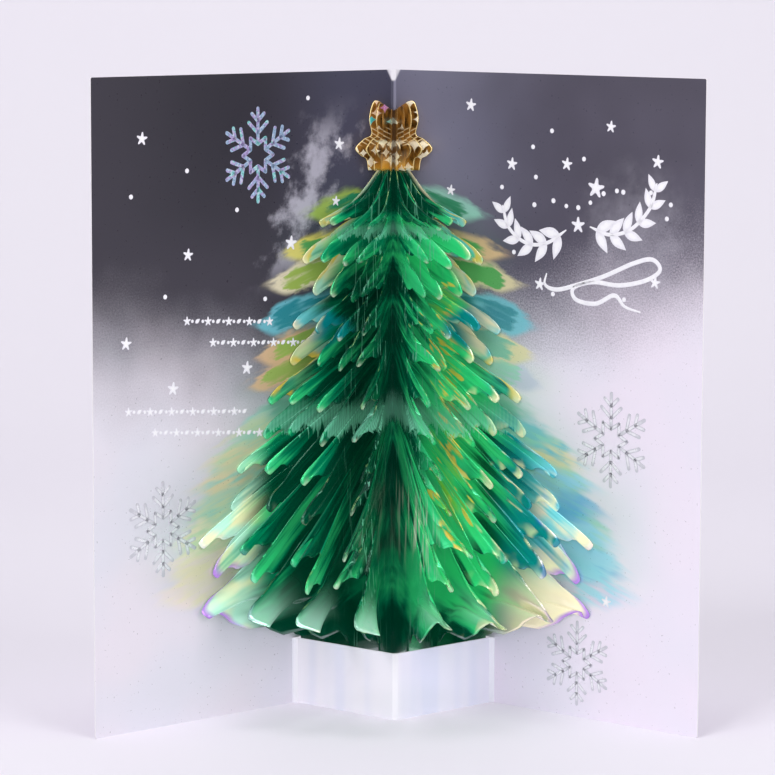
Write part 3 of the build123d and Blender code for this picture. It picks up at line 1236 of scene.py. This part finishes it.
def garlandPiece(material):
    # two mirrored sprigs that meet at a star, with a looped flourish below
    plan = garlandPlan
    middle = plan["middle"]
    mesh, flowMap = newMesh()
    shapes = []
    for way in (1, -1):
        stem = [(middle[0] + way * sideways, middle[1] + up + way * sideways * plan["slope"])
                for sideways, up in plan["stem"]]
        addRibbon(mesh, flowMap, 1, stem, plan["stemHalf"])
        line = smoothLine(stem, plan["leafPairs"] * 4)
        for pair in range(plan["leafPairs"]):
            root, following = line[pair * 4 + 2], line[pair * 4 + 4]
            along = atan2(following[1] - root[1], following[0] - root[0])
            first, last = plan["leafLength"]
            length = first + (last - first) * pair / plan["leafPairs"]
            for turn in (plan["leafTurn"], -plan["leafTurn"]):
                tip = (root[0] + length * cos(along + turn), root[1] + length * sin(along + turn))
                shapes.append(leafShape(root, tip, plan["leafWidth"]))
    addRibbon(mesh, flowMap, 1, plan["loop"], plan["loopHalf"])
    keepPrint("rightFlourish", mesh, material)
    for sideways, up, size in plan["buds"]:
        place = (middle[0] + sideways, middle[1] + up + sideways * plan["slope"])
        shapes.append((place, starOutline(place, size) if size > 1 else dotOutline(place, size)))
    stampMesh("rightGarland", material, shapes, 1)


def beadShapes():
    # rows of stars, dots and small leaves
    shapes = []
    for startReach, startHeight, endReach, endHeight, count in garlandPlan["rows"]:
        for index in range(count):
            place = between((startReach, startHeight), (endReach, endHeight), index / (count - 1))
            if index % 4 == 0:
                shapes.append((place, starOutline(place, garlandPlan["beadStar"])))
            elif index % 4 == 2:
                root, tip = (place[0] + 0.9, place[1] - 0.5), (place[0] - 0.9, place[1] + 0.7)
                shapes.append(leafShape(root, tip, garlandPlan["beadLeaf"]))
            else:
                shapes.append((place, dotOutline(place, garlandPlan["beadDot"])))
    return shapes


whiteInk = inkMaterial("whiteInk", (250, 249, 252), (238, 236, 244), 0, 0.35)
silverLine = inkMaterial("silverLine", (244, 243, 249), (208, 207, 216), 0.3, 0.2)
laserFoil = laserMaterial()

for side, sideName in ((-1, "left"), (1, "right")):
    shapes = [((reach, height), starOutline((reach, height), size, tilt=0.12 * side))
              for reach, height, size in stampPlan[f"{sideName}Stars"]]
    shapes += [((reach, height), dotOutline((reach, height), stampPlan["dotSize"]))
               for reach, height in stampPlan[f"{sideName}Dots"]]
    stampMesh(f"{sideName}Stars", whiteInk, shapes, side)
    for index, (reach, height, size) in enumerate(flakePlan[sideName]):
        finish = laserFoil if (side, index) == (-1, 0) else silverLine
        stampMesh(f"{sideName}Flake.{index + 1}", finish, flakeShapes((reach, height), size), side)
garlandPiece(whiteInk)
stampMesh("leftBeads", whiteInk, beadShapes(), -1)
print("stage: foil and ornaments")

# Floor, light and camera

studioPlan = {
    "backdrop": colour(229, 226, 234),
    "backdropShade": colour(228, 224, 235),
    "floorSize": 4,
    "back": 1.1,
    "corner": 0.6,
    "cornerSteps": 12,
    "cameraPlace": (-0.02329, -1.115, 0.2366),     # from the spine's printed face, in metres
    "yaw": 1.113,
    "pitch": 7.1,
    "roll": 0.175,
    "focalPixels": 3481,
    "imagePixels": 775,
    "sensor": 36,
    "farthest": 20,
    "lampAim": (0, 0, 0.1),
    "lamps": {          # place, width and height, power
        "keyLamp": ((-1.1, -1.5, 1.6), (1, 1), 18.5),
        "fillLamp": ((1.4, -1.4, 1.1), (0.9, 1.1), 12),
        "topLamp": ((0, -0.1, 1.9), (0.9, 0.6), 9),
        "leftStrip": ((-0.55, -1.2, 0.5), (0.04, 0.7), 1.6),
        "rightStrip": ((0.6, -1.1, 0.45), (0.04, 0.6), 1.4),
    },
    "skyColour": colour(252, 250, 250),
    "skyStrength": 0.5,
}


def sweepFloor():
    # floor and backdrop in one sheet with a wide round corner
    half, back, radius = studioPlan["floorSize"] / 2, studioPlan["back"], studioPlan["corner"]
    profile = [(-half, 0), (back - radius, 0)]
    for index in range(1, studioPlan["cornerSteps"] + 1):
        angle = pi / 2 * index / studioPlan["cornerSteps"]
        profile.append((back - radius + radius * sin(angle), radius - radius * cos(angle)))
    profile.append((back, half))
    mesh = bmesh.new()
    lines = [[mesh.verts.new((x, y, z)) for x in (-half, half)] for y, z in profile]
    for lower, upper in zip(lines, lines[1:]):
        face = mesh.faces.new([lower[0], lower[1], upper[1], upper[0]])
        face.smooth = True
    material, tree, shader = newMaterial("paper")
    x, y, height = places(tree)
    cloud = mottle(vector(x, y, height), 400, 1)
    ink = mixColour(cloud, studioPlan["backdrop"], studioPlan["backdropShade"])
    setShader(shader, {
        "Base Color": ink,
        "Roughness": 0.7,
    })
    floor = addPiece("floor", mesh, [material])


def addLamp(name, place, size, power):
    data = bpy.data.lights.new(name, "AREA")
    data.shape = "RECTANGLE"
    data.size, data.size_y = size
    data.energy = power
    lamp = addObject(name, data)
    lamp.location = place
    towards = Vector(studioPlan["lampAim"]) - Vector(place)
    lamp.rotation_euler = towards.to_track_quat("-Z", "Y").to_euler()


def addCamera():
    plan = studioPlan
    data = bpy.data.cameras.new("camera")
    data.sensor_width = plan["sensor"]
    data.lens = plan["focalPixels"] / plan["imagePixels"] * plan["sensor"]
    data.clip_end = plan["farthest"]
    camera = addObject("camera", data)
    offset = Vector(plan["cameraPlace"])
    turn = (Matrix.Rotation(-radians(plan["yaw"]), 4, "Z")
            @ Matrix.Rotation(radians(90 - plan["pitch"]), 4, "X")
            @ Matrix.Rotation(radians(plan["roll"]), 4, "Z"))
    camera.matrix_world = Matrix.Translation(offset + Vector((0, spineY * mm, 0))) @ turn
    bpy.context.scene.camera = camera


sweepFloor()
for lampName, lamp in studioPlan["lamps"].items():
    addLamp(lampName, *lamp)
world = bpy.data.worlds.new("studio")
world.use_nodes = True
sky = world.node_tree.nodes["Background"]
sky.inputs["Color"].default_value = studioPlan["skyColour"]
sky.inputs["Strength"].default_value = studioPlan["skyStrength"]
bpy.context.scene.world = world
addCamera()
bpy.context.scene.view_settings.view_transform = "Standard"
print("stage: studio")
